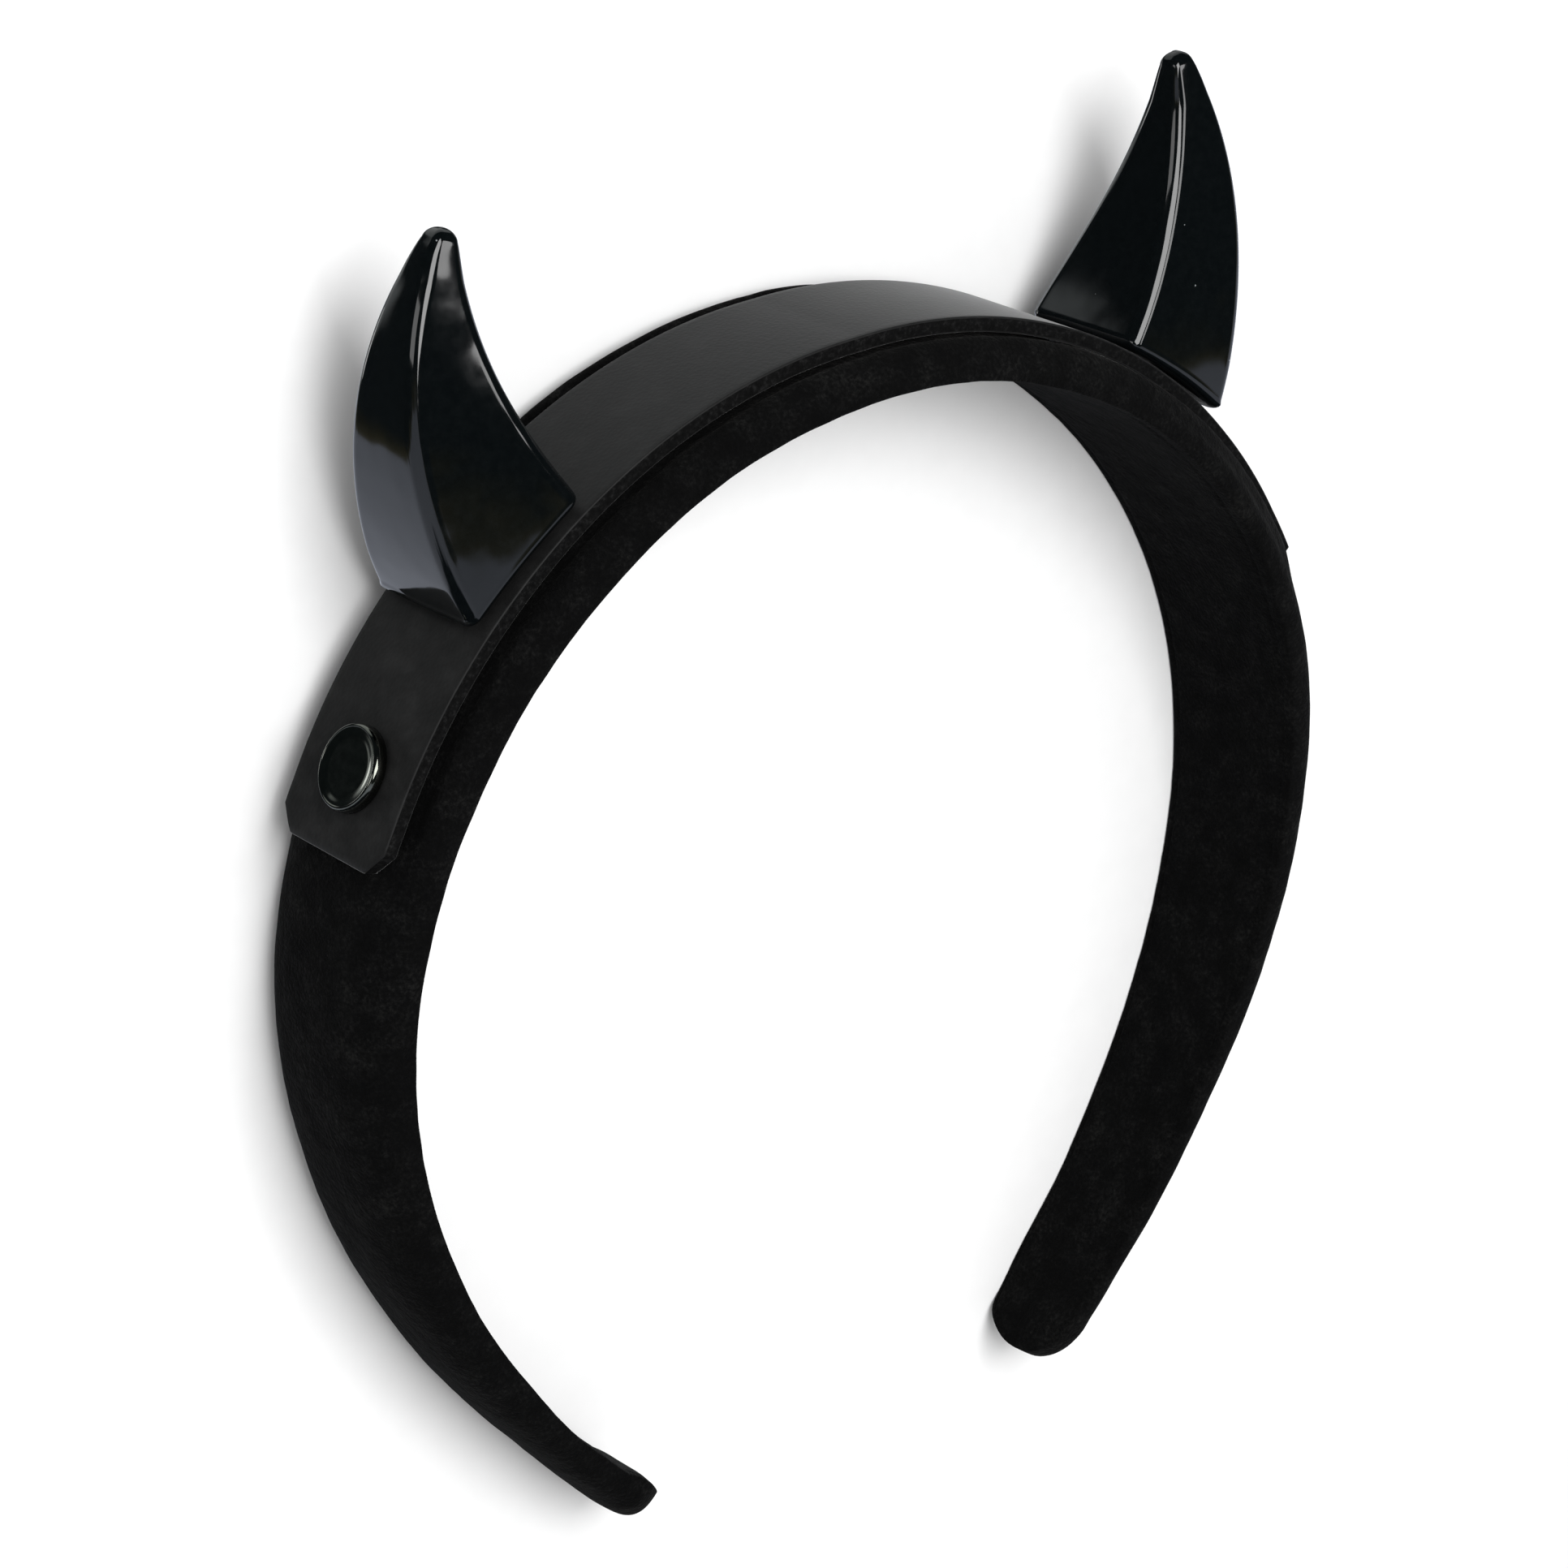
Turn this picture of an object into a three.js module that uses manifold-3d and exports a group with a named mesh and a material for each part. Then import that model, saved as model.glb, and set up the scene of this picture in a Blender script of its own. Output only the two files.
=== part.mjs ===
// Horn headband: a padded velvet band, a leather strap snapped over its crown, and two horns on the strap.
// Millimetres, +Z up. It lies on the back edge of its band, with the front edge up and the horns along +Y.
import * as THREE from "three";
import { mergeVertices } from "three/addons/utils/BufferGeometryUtils.js";
import Module from "manifold-3d";

// Every place is found by its arc, which is the distance along the band's inner face from the middle of
// the crown, negative on the left leg, by its distance to the front of the band's middle plane, and by
// its height above the inner face.

// Padded band
const LEG_LENGTH = { left: 178.9, right: 185.9 };
const BAND_BEND = [
  { arc: 0, radius: 65.1 },
  { arc: 46, radius: 67.3 },
  { arc: 91.5, radius: 58.4 },
  { arc: 137, radius: 103.5 },
  { arc: 183, radius: -3000 },
];
const BAND_WIDTH = [
  { arc: 0, width: 29.2 },
  { arc: 64, width: 26.5 },
  { arc: 110, width: 20.9 },
  { arc: 146, width: 17.3 },
  { arc: 178, width: 14.8 },
];
const BAND_THICKNESS = [
  { arc: 0, thickness: 4.2 },
  { arc: 46, thickness: 5 },
  { arc: 72, thickness: 5.6 },
  { arc: 91.5, thickness: 6.8 },
  { arc: 137, thickness: 5.7 },
  { arc: 178, thickness: 3.8 },
];
const DOME_POWER = 2.7;
const INNER_EDGE_HEIGHT = 0.7;
const INNER_EDGE_POWER = 6;
const LEG_END_ROUND = 7;
const LEG_END_THICKNESS_SHARE = 0.6;
const LEG_END_FOLD = { length: 22, depth: 1.5 };
const LEG_END_RINGS = 6;
const BAND_STEP = 4;
const BAND_RING_POINTS = 24;

// Rest: the soft back edge is pressed flat where the band lies on it, from the crown to the leg ends.
const REST_DEPTH_CROWN = 14.1;
const REST_DEPTH_ENDS = 6.9;
const REST_RUN = 131;
const REST_SURFACE = { side: 400, depth: 40 };

// Leather strap
const STRAP_END = { left: 77, right: 79.8 };
const STRAP_WIDTH = 19;
const STRAP_THICKNESS = 1.8;
const STRAP_CHAMFER = 2.4;
const STRAP_LAY = [
  { arc: -77, front: 0.9 },
  { arc: 0, front: 0.3 },
  { arc: 40, front: -0.4 },
  { arc: 58, front: -1.6 },
  { arc: 79.8, front: -2.3 },
];
const STRAP_STEP = 3.2;
const SEAT_GAP = 0.3;

// Snaps
const SNAP_ARC = { left: -68.5, right: 71.3 };
const SNAP_FRONT_OFFSET = 0.6;
const SNAP_DIAMETER = 9.7;
const SNAP_HEIGHT = 1.4;
const SNAP_DISH_DIAMETER = 7.2;
const SNAP_DISH_DEPTH = 0.45;
const SNAP_DISH_CROWN = 0.1;
const SNAP_POST_DIAMETER = 4;
const SNAP_HOLE_DEPTH = 7;
const SNAP_SIDES = 32;
const SNAP_RIM_STEPS = 6;

// Horns
const HORN_ARC = { left: -43.8, right: 47.2 };
const HORN_BASE_LENGTH = 18.5;
const HORN_BASE_WIDTH = 18.2;
const HORN_TIP_HEIGHT = 30.8;
const HORN_TIP_INWARD = 17.5;
const HORN_TIP_FORWARD = 2.6;
const HORN_BEND = { height: 19.4, inward: 2.7, forward: 0.5 };
const HORN_TAPER = { length: 0.88, width: 0.95, onset: 1.19 };
const HORN_TIP_RADIUS = 1.6;
const HORN_RIDGE_RADIUS = 1.1;
const HORN_RIDGE_SHARE = 0.85;
const HORN_CORNERS = [
  { toX: 1, toZ: 1, quarter: 0 },
  { toX: -1, toZ: 1, quarter: 1 },
  { toX: -1, toZ: -1, quarter: 2 },
  { toX: 1, toZ: -1, quarter: 3 },
];
const HORN_CORNER_POINTS = 5;
const HORN_BASE_FILLET = 0.8;
const HORN_LEAN_DEGREES = { left: 1.7, right: 2.6 };
const HORN_GAP = 0.4;
const HORN_FILLET_RINGS = 3;
const HORN_RINGS = 22;
const HORN_TIP_RINGS = 4;

const SIDES = ["left", "right"];
const WALK_STEP = 0.5;
const MERGE_DISTANCE = 1e-4;
const QUARTER_TURN = Math.PI / 2;

const velvet = new THREE.MeshStandardMaterial({ color: 0x121213, roughness: 1 });
const leather = new THREE.MeshStandardMaterial({ color: 0x3a3a3c, roughness: 0.75 });
const glossyPlastic = new THREE.MeshStandardMaterial({ color: 0x07080a, roughness: 0.12 });
const blackenedMetal = new THREE.MeshStandardMaterial({ color: 0x161616, roughness: 0.25, metalness: 0.6 });

const wasm = await Module();
wasm.setup();

// A value read off a table of rows by arc, straight between rows and level past the ends.
function atArc(rows, arc, valueOf) {
  const after = rows.findIndex((row) => row.arc >= arc);
  if (after === 0) return valueOf(rows[0]);
  if (after < 0) return valueOf(rows[rows.length - 1]);
  const before = rows[after - 1];
  const share = (arc - before.arc) / (rows[after].arc - before.arc);
  return THREE.MathUtils.lerp(valueOf(before), valueOf(rows[after]), share);
}

const endOn = (arc, ends) => (arc < 0 ? ends.left : ends.right);
const bandWidth = (arc) => atArc(BAND_WIDTH, Math.abs(arc), (row) => row.width);
const bandThickness = (arc) => atArc(BAND_THICKNESS, Math.abs(arc), (row) => row.thickness);
const strapLay = (arc) => atArc(STRAP_LAY, arc, (row) => row.front);
const strapUnderside = (arc) => bandThickness(arc) + SEAT_GAP;
const strapTop = (arc) => strapUnderside(arc) + STRAP_THICKNESS;

// The right leg's inner face, walked in small steps from the crown: its turn and its place at each step.
const innerFace = [{ x: 0, y: 0, turn: 0 }];
for (let arc = WALK_STEP / 2; arc < LEG_LENGTH.right + WALK_STEP; arc += WALK_STEP) {
  const last = innerFace[innerFace.length - 1];
  const stepTurn = WALK_STEP * atArc(BAND_BEND, arc, (row) => 1 / row.radius);
  const middleTurn = last.turn + stepTurn / 2;
  innerFace.push({
    x: last.x + WALK_STEP * Math.cos(middleTurn),
    y: last.y - WALK_STEP * Math.sin(middleTurn),
    turn: last.turn + stepTurn,
  });
}

function faceAt(arc) {
  const steps = Math.abs(arc) / WALK_STEP;
  const before = innerFace[Math.floor(steps)];
  const after = innerFace[Math.floor(steps) + 1];
  const share = steps - Math.floor(steps);
  return {
    side: arc < 0 ? -1 : 1,
    x: THREE.MathUtils.lerp(before.x, after.x, share),
    y: THREE.MathUtils.lerp(before.y, after.y, share),
    turn: THREE.MathUtils.lerp(before.turn, after.turn, share),
  };
}

// The point at an arc, a distance to the front of the middle plane and a height above the inner face.
function place(arc, front, height) {
  const face = faceAt(arc);
  return new THREE.Vector3(
    face.side * (face.x + height * Math.sin(face.turn)),
    face.y + height * Math.cos(face.turn),
    front,
  );
}

// A closed skin through rings of points, each counter-clockwise about the way on, with a fan over both ends.
function loft(rings) {
  const count = rings[0].length;
  const points = rings.flat();
  const faces = [];
  rings.slice(1).forEach((_, row) => {
    for (let i = 0; i < count; i += 1) {
      const next = (i + 1) % count;
      const a = row * count + i;
      const b = row * count + next;
      faces.push(a, b, b + count, a, b + count, a + count);
    }
  });
  const closeEnd = (ring, first, flip) => {
    const middle = ring.reduce((sum, p) => sum.add(p), new THREE.Vector3()).divideScalar(count);
    const tip = points.push(middle) - 1;
    for (let i = 0; i < count; i += 1) {
      const edge = [first + i, first + ((i + 1) % count)];
      faces.push(...(flip ? edge.reverse() : edge), tip);
    }
  };
  closeEnd(rings[0], 0, true);
  closeEnd(rings[rings.length - 1], (rings.length - 1) * count, false);
  return new THREE.BufferGeometry().setFromPoints(points).setIndex(faces);
}

function solidOf(geometry) {
  const bare = geometry.clone();
  bare.deleteAttribute("normal");
  bare.deleteAttribute("uv");
  const merged = mergeVertices(bare, MERGE_DISTANCE);
  return new wasm.Manifold(
    new wasm.Mesh({
      numProp: 3,
      vertProperties: merged.attributes.position.array,
      triVerts: new Uint32Array(merged.index.array),
    }),
  );
}

function geometryOf(solid) {
  const mesh = solid.getMesh();
  return new THREE.BufferGeometry()
    .setAttribute("position", new THREE.BufferAttribute(mesh.vertProperties, 3))
    .setIndex(new THREE.BufferAttribute(mesh.triVerts, 1));
}

function piece(name, geometry, material) {
  geometry.computeVertexNormals();
  const mesh = new THREE.Mesh(geometry, material);
  mesh.name = name;
  return mesh;
}

function evenArcs(from, to, step) {
  const count = Math.ceil((to - from) / step);
  return Array.from({ length: count + 1 }, (_, i) => from + ((to - from) * i) / count);
}

// The padded band: flat towards the head, domed outside, its legs narrowing to rounded ends, where the
// velvet is turned under in a fold that swells towards the head.
function signedPower(value, power) {
  return Math.sign(value) * Math.abs(value) ** power;
}

function bandRing(arc) {
  const end = endOn(arc, LEG_LENGTH);
  const intoRound = Math.max(0, Math.abs(arc) - (end - LEG_END_ROUND)) / LEG_END_ROUND;
  const roundShare = Math.sqrt(1 - intoRound ** 2);
  const half = (bandWidth(arc) / 2) * roundShare;
  const thickness = bandThickness(arc) * THREE.MathUtils.lerp(LEG_END_THICKNESS_SHARE, 1, roundShare);
  const edge = Math.min(INNER_EDGE_HEIGHT, thickness / 2);
  const foldShare = THREE.MathUtils.smoothstep(Math.abs(arc), end - LEG_END_FOLD.length, end - LEG_END_ROUND);
  const innerDepth = edge + LEG_END_FOLD.depth * foldShare * roundShare;
  return Array.from({ length: BAND_RING_POINTS }, (_, i) => {
    const angle = (2 * Math.PI * (i + 0.5)) / BAND_RING_POINTS;
    const outside = Math.sin(angle) > 0;
    const power = 2 / (outside ? DOME_POWER : INNER_EDGE_POWER);
    const depth = outside ? thickness - edge : innerDepth;
    const front = -half * signedPower(Math.cos(angle), power);
    return place(arc, front, edge + depth * signedPower(Math.sin(angle), power));
  });
}

function bandArcs() {
  const start = { left: LEG_LENGTH.left - LEG_END_ROUND, right: LEG_LENGTH.right - LEG_END_ROUND };
  const round = Array.from(
    { length: LEG_END_RINGS },
    (_, i) => LEG_END_ROUND * Math.sin((QUARTER_TURN * (i + 1)) / (LEG_END_RINGS + 0.5)),
  );
  return [
    ...round.map((past) => -start.left - past).reverse(),
    ...evenArcs(-start.left, start.right, BAND_STEP),
    ...round.map((past) => start.right + past),
  ];
}

const restTilt = Math.atan((REST_DEPTH_CROWN - REST_DEPTH_ENDS) / REST_RUN);

function makeBand() {
  const surface = new THREE.BoxGeometry(REST_SURFACE.side, REST_SURFACE.side, REST_SURFACE.depth);
  surface.translate(0, 0, -REST_SURFACE.depth / 2);
  surface.rotateX(-restTilt);
  surface.translate(0, 0, -REST_DEPTH_CROWN);
  const padded = solidOf(loft(bandArcs().map(bandRing)));
  return piece("band", geometryOf(padded.subtract(solidOf(surface))), velvet);
}

// The strap: one flat strip of leather over the dome, its corners cut off, with a hole for each snap's post.
function strapRing(arc) {
  const cut = Math.max(0, Math.abs(arc) - (endOn(arc, STRAP_END) - STRAP_CHAMFER));
  const half = STRAP_WIDTH / 2 - cut;
  const middle = strapLay(arc);
  return [
    place(arc, middle - half, strapUnderside(arc)),
    place(arc, middle - half, strapTop(arc)),
    place(arc, middle + half, strapTop(arc)),
    place(arc, middle + half, strapUnderside(arc)),
  ];
}

function snapSeat(side) {
  const arc = SNAP_ARC[side];
  return { arc, front: strapLay(arc) + SNAP_FRONT_OFFSET, height: strapTop(arc) + SEAT_GAP };
}

function setOnStrap(object, seat, lean = 0) {
  const face = faceAt(seat.arc);
  object.position.copy(place(seat.arc, seat.front, seat.height));
  object.rotation.z = -face.side * (face.turn - lean);
  return object;
}

function makeStrap() {
  const corner = { left: STRAP_END.left - STRAP_CHAMFER, right: STRAP_END.right - STRAP_CHAMFER };
  const between = evenArcs(-corner.left, corner.right, STRAP_STEP);
  const arcs = [-STRAP_END.left, ...between, STRAP_END.right];
  const holeRadius = SNAP_POST_DIAMETER / 2 + SEAT_GAP;
  let strip = solidOf(loft(arcs.map(strapRing)));
  for (const side of SIDES) {
    const hole = new THREE.Mesh(
      new THREE.CylinderGeometry(holeRadius, holeRadius, SNAP_HOLE_DEPTH, SNAP_SIDES),
    );
    setOnStrap(hole, snapSeat(side)).updateMatrix();
    strip = strip.subtract(solidOf(hole.geometry.applyMatrix4(hole.matrix)));
  }
  return piece("strap", geometryOf(strip), leather);
}

// A snap: a round cap with a rolled rim and a dished middle, and a post through the strap.
function makeSnap(side) {
  const postRadius = SNAP_POST_DIAMETER / 2;
  const postEnd = -SEAT_GAP - STRAP_THICKNESS;
  const rim = (SNAP_DIAMETER - SNAP_DISH_DIAMETER) / 4;
  const rimMiddle = SNAP_DIAMETER / 2 - rim;
  const dishEdge = SNAP_HEIGHT - SNAP_DISH_DEPTH;
  const profile = [
    new THREE.Vector2(0, postEnd),
    new THREE.Vector2(postRadius, postEnd),
    new THREE.Vector2(postRadius, 0),
    new THREE.Vector2(SNAP_DIAMETER / 2, 0),
  ];
  for (let i = 0; i < SNAP_RIM_STEPS; i += 1) {
    const angle = (Math.PI * i) / SNAP_RIM_STEPS;
    const out = rimMiddle + rim * Math.cos(angle);
    profile.push(new THREE.Vector2(out, SNAP_HEIGHT - rim + rim * Math.sin(angle)));
  }
  profile.push(new THREE.Vector2(SNAP_DISH_DIAMETER / 2, dishEdge));
  profile.push(new THREE.Vector2(0, dishEdge + SNAP_DISH_CROWN));
  const cap = piece(`snap_${side}`, new THREE.LatheGeometry(profile, SNAP_SIDES), blackenedMetal);
  return setOnStrap(cap, snapSeat(side));
}

// A horn: four-sided with rounded ridges, its flat base along the strap, curving up and in to a blunt tip.
// Its own axes: +X away from the crown on the right horn, +Y out of the base, +Z to the front.
function hornRing(sign, along, { lift = 0, size = 1, inset = 0 } = {}) {
  const bendShare = 2 * along * (1 - along);
  const tipShare = along ** 2;
  const inward = bendShare * HORN_BEND.inward + tipShare * HORN_TIP_INWARD;
  const height = bendShare * HORN_BEND.height + tipShare * HORN_TIP_HEIGHT;
  const forward = bendShare * HORN_BEND.forward + tipShare * HORN_TIP_FORWARD;
  const slopeIn = (1 - 2 * along) * HORN_BEND.inward + along * HORN_TIP_INWARD;
  const slopeUp = (1 - 2 * along) * HORN_BEND.height + along * HORN_TIP_HEIGHT;
  const lean = Math.atan2(slopeIn, slopeUp) * (1 - (1 - along) ** 2);
  const toGo = 1 - along ** HORN_TAPER.onset;
  const taper = (base, power) => HORN_TIP_RADIUS + (base / 2 - HORN_TIP_RADIUS) * toGo ** power;
  const halfLength = taper(HORN_BASE_LENGTH, HORN_TAPER.length) * size - inset;
  const halfWidth = taper(HORN_BASE_WIDTH, HORN_TAPER.width) * size - inset;
  const ridge = Math.min(HORN_RIDGE_RADIUS, HORN_RIDGE_SHARE * Math.min(halfLength, halfWidth));
  const ring = [];
  for (const { toX, toZ, quarter } of HORN_CORNERS) {
    for (let i = 0; i < HORN_CORNER_POINTS; i += 1) {
      const angle = QUARTER_TURN * (quarter + i / (HORN_CORNER_POINTS - 1));
      const acrossX = toX * (halfLength - ridge) + ridge * Math.cos(angle);
      const acrossZ = toZ * (halfWidth - ridge) + ridge * Math.sin(angle);
      const x = -inward + acrossX * Math.cos(lean) - lift * Math.sin(lean);
      const y = height + acrossX * Math.sin(lean) + lift * Math.cos(lean);
      ring.push(new THREE.Vector3(sign * x, y, forward + acrossZ));
    }
  }
  return sign > 0 ? ring.reverse() : ring;
}

function makeHorn(side) {
  const sign = side === "left" ? -1 : 1;
  const rings = [];
  for (let i = 0; i < HORN_FILLET_RINGS; i += 1) {
    const angle = (QUARTER_TURN * i) / HORN_FILLET_RINGS;
    const lift = HORN_BASE_FILLET * (1 - Math.cos(angle));
    rings.push(hornRing(sign, 0, { lift, inset: HORN_BASE_FILLET * (1 - Math.sin(angle)) }));
  }
  const firstAlong = HORN_BASE_FILLET / (2 * HORN_BEND.height);
  for (let i = 0; i <= HORN_RINGS; i += 1) {
    rings.push(hornRing(sign, firstAlong + ((1 - firstAlong) * i) / HORN_RINGS));
  }
  for (let i = 1; i <= HORN_TIP_RINGS; i += 1) {
    const angle = (QUARTER_TURN * i) / (HORN_TIP_RINGS + 0.5);
    rings.push(hornRing(sign, 1, { lift: HORN_TIP_RADIUS * Math.sin(angle), size: Math.cos(angle) }));
  }
  const horn = piece(`horn_${side}`, loft(rings), glossyPlastic);
  const arc = HORN_ARC[side];
  const seat = { arc, front: 0, height: strapTop(arc) + HORN_GAP };
  return setOnStrap(horn, seat, THREE.MathUtils.degToRad(HORN_LEAN_DEGREES[side]));
}

const headband = new THREE.Group();
headband.add(makeBand(), makeStrap(), ...SIDES.map(makeSnap), ...SIDES.map(makeHorn));
headband.rotation.x = restTilt;
headband.position.z = REST_DEPTH_CROWN * Math.cos(restTilt);

const part = new THREE.Group();
part.add(headband);
const box = new THREE.Box3().setFromObject(part, true);
headband.position.x = -(box.min.x + box.max.x) / 2;
headband.position.y = -(box.min.y + box.max.y) / 2;

export default part;
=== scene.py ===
import math

import bpy
import numpy as np
from mathutils import Matrix, Vector, noise


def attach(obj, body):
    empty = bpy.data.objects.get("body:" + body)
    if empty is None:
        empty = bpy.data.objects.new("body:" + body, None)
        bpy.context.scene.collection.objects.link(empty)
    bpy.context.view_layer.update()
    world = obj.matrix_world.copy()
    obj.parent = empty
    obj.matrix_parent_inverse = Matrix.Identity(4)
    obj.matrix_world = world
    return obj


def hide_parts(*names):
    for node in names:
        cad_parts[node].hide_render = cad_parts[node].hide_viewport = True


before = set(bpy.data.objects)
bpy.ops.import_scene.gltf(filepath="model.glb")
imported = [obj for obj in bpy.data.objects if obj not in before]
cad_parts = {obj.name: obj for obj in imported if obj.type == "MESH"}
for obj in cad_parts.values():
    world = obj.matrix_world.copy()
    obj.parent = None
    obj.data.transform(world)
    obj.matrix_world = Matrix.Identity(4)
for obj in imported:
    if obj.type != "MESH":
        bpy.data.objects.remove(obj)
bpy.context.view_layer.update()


# Padded band: a springy core under foam, drawn over with black velvet of short pile.
# The velvet is glued down inside beneath a lining of the same velvet, and turned under at both leg
# ends, where the fold stands up towards the head. Its back edge is pressed flat where the band lies.
MM = 0.001  # sizes are in millimetres, and arcs run from the crown along the inner face, left ones negative
LEG_LENGTH = {"left": 178.9, "right": 185.9}
BAND_BEND = {"arc": (0, 46, 91.5, 137, 183), "radius": (65.1, 67.3, 58.4, 103.5, -3000)}
BAND_WIDTH = {"arc": (0, 64, 110, 146, 178), "width": (29.2, 26.5, 20.9, 17.3, 14.8)}
BAND_THICKNESS = {"arc": (0, 46, 72, 91.5, 137, 178), "thickness": (4.2, 5, 5.6, 6.8, 5.7, 3.8)}
DOME_POWER = 2.7
DOME_POINTS = 44
INNER_EDGE_HEIGHT = 0.7
INNER_EDGE_POWER = 6
INNER_SHARES = (0.006, 0.02, 0.045, 0.08, 0.11, 0.13, 0.15, 0.17, 0.19, 0.22, 0.3, 0.45, 0.65, 0.85)
LINING_SEAM = {"share": 0.15, "spread": 0.028, "depth": 0.14}
LEG_END_ROUND = 7
LEG_END_RINGS = 14
LEG_END_STOPS_SHORT = 0.4
LEG_END_THICKNESS_SHARE = 0.6
LEG_END_FOLD = {"starts": 11, "rise": 4, "skew": 5, "depth": 1.7, "edge": 1.5, "left_at_end": 0.6}
LEG_END_PADDING = {"starts": 24, "rise": 14, "share": 0.5}
BAND_STEP = 1
PADDING_UNEVENNESS = {"size": 14, "height": 0.16}
PILE_UNEVENNESS = {"size": 2.6, "height": 0.06}
STRAP_END = {"left": 77, "right": 79.8}
STRAP_WIDTH = 19
STRAP_LAY = {"arc": (-77, 0, 40, 58, 79.8), "front": (0.9, 0.3, -0.4, -1.6, -2.3)}
PUFF_FRONT = {"height": 1.1, "reach": 4}
PUFF_BACK = {"height": 2.6, "reach": 5.2, "arc": (-56, -40, 4, 34)}
PUFF_FADE = 5
COVER_PRESSURE = 3
COVER_FRAMES = 12
COVER_SWELL = 0.5
COVER_HELD_SHARE = 0.2
REST_DEPTH = {"crown": 14.1, "ends": 6.9}
REST_RUN = 131
REST_TILT = math.atan((REST_DEPTH["crown"] - REST_DEPTH["ends"]) / REST_RUN)
REST_SOFTNESS = 0.5
CROWN_PLACE = {"x": -0.0042, "y": 55.4578, "z": 14.0788}
WALK_STEP = 0.5
WALK_SPARE = 2
SLOPE_EASE = 5

# The band's inner face is walked from the crown down one leg, turning by the bend of each step.
walk = np.arange(0, LEG_LENGTH["right"] + WALK_SPARE, WALK_STEP)
step_bend = np.interp(walk[:-1] + WALK_STEP / 2, BAND_BEND["arc"], 1 / np.array(BAND_BEND["radius"]))
face_turn = np.concatenate([[0], np.cumsum(step_bend * WALK_STEP)])
step_turn = (face_turn[1:] + face_turn[:-1]) / 2
face_x = np.concatenate([[0], np.cumsum(np.cos(step_turn) * WALK_STEP)])
face_y = -np.concatenate([[0], np.cumsum(np.sin(step_turn) * WALK_STEP)])


def lay(points):
    """Takes points in the headband's own millimetres to metres in the frame, lying on its back edge."""
    x, y, z = np.moveaxis(np.asarray(points, float), -1, 0)
    back = y * math.cos(REST_TILT) - z * math.sin(REST_TILT) + CROWN_PLACE["y"]
    up = y * math.sin(REST_TILT) + z * math.cos(REST_TILT) + CROWN_PLACE["z"]
    return np.stack([x + CROWN_PLACE["x"], back, up], -1) * MM


def place(arc, front, height):
    """Points in the headband's millimetres, by arc from the crown, distance to the front and height."""
    arc, front, height = np.broadcast_arrays(*(np.asarray(v, float) for v in (arc, front, height)))
    turn = np.interp(np.abs(arc), walk, face_turn)
    x = np.interp(np.abs(arc), walk, face_x) + height * np.sin(turn)
    y = np.interp(np.abs(arc), walk, face_y) + height * np.cos(turn)
    return np.stack([np.where(arc < 0, -x, x), y, front], -1)


def at_arc(rows, column, arc):
    """A value of a table at an arc, eased a little where two of its slopes meet."""
    around = [np.abs(np.abs(arc) + ease) for ease in (-SLOPE_EASE, 0, SLOPE_EASE)]
    return sum(np.interp(near, rows["arc"], rows[column]) for near in around) / len(around)


def smoothstep(value, low, high):
    """Rises from 0 at a low value to 1 at a high one, level at both."""
    share = np.clip((value - low) / (high - low), 0, 1)
    return share * share * (3 - 2 * share)


def skin(name, rings, material):
    """A closed smooth mesh through rings of points in the headband's millimetres."""
    rings = np.asarray(rings)
    rows, count = rings.shape[:2]
    index = np.arange(rows * count).reshape(rows, count)
    ahead = np.roll(index, -1, axis=1)
    quads = np.stack([index[:-1], ahead[:-1], ahead[1:], index[1:]], -1).reshape(-1, 4)
    faces = quads.tolist() + [index[0][::-1].tolist(), index[-1].tolist()]
    mesh = bpy.data.meshes.new(name)
    mesh.from_pydata(lay(rings).reshape(-1, 3).tolist(), [], faces)
    mesh.materials.append(material)
    mesh.shade_smooth()
    piece = bpy.data.objects.new(name, mesh)
    bpy.context.collection.objects.link(piece)
    return piece


def linear(colour):
    """An sRGB hex colour as linear RGBA."""
    parts = [int(colour[i:i + 2], 16) / 255 for i in (1, 3, 5)]
    return [p / 12.92 if p <= 0.04045 else ((p + 0.055) / 1.055) ** 2.4 for p in parts] + [1]


def add(owner, kind, sockets=None, stops=(), **settings):
    """Adds a node to a material or the world, with its settings and its sockets' values or links.

    The stops of a colour ramp are pairs of a position and a hex colour.
    """
    made = owner.node_tree.nodes.new("ShaderNode" + kind)
    for setting, value in settings.items():
        setattr(made, setting, value)
    for socket, value in (sockets or {}).items():
        if isinstance(value, bpy.types.NodeSocket):
            owner.node_tree.links.new(value, made.inputs[socket])
        else:
            made.inputs[socket].default_value = value
    for number, (position, colour) in enumerate(stops):
        if number == len(made.color_ramp.elements):
            made.color_ramp.elements.new(1)
        made.color_ramp.elements[number].position = position
        made.color_ramp.elements[number].color = linear(colour)
    return made


def finish_of(name):
    """A new material with no nodes in it yet."""
    material = bpy.data.materials.new(name)
    material.use_nodes = True
    material.node_tree.nodes.clear()
    return material


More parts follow.
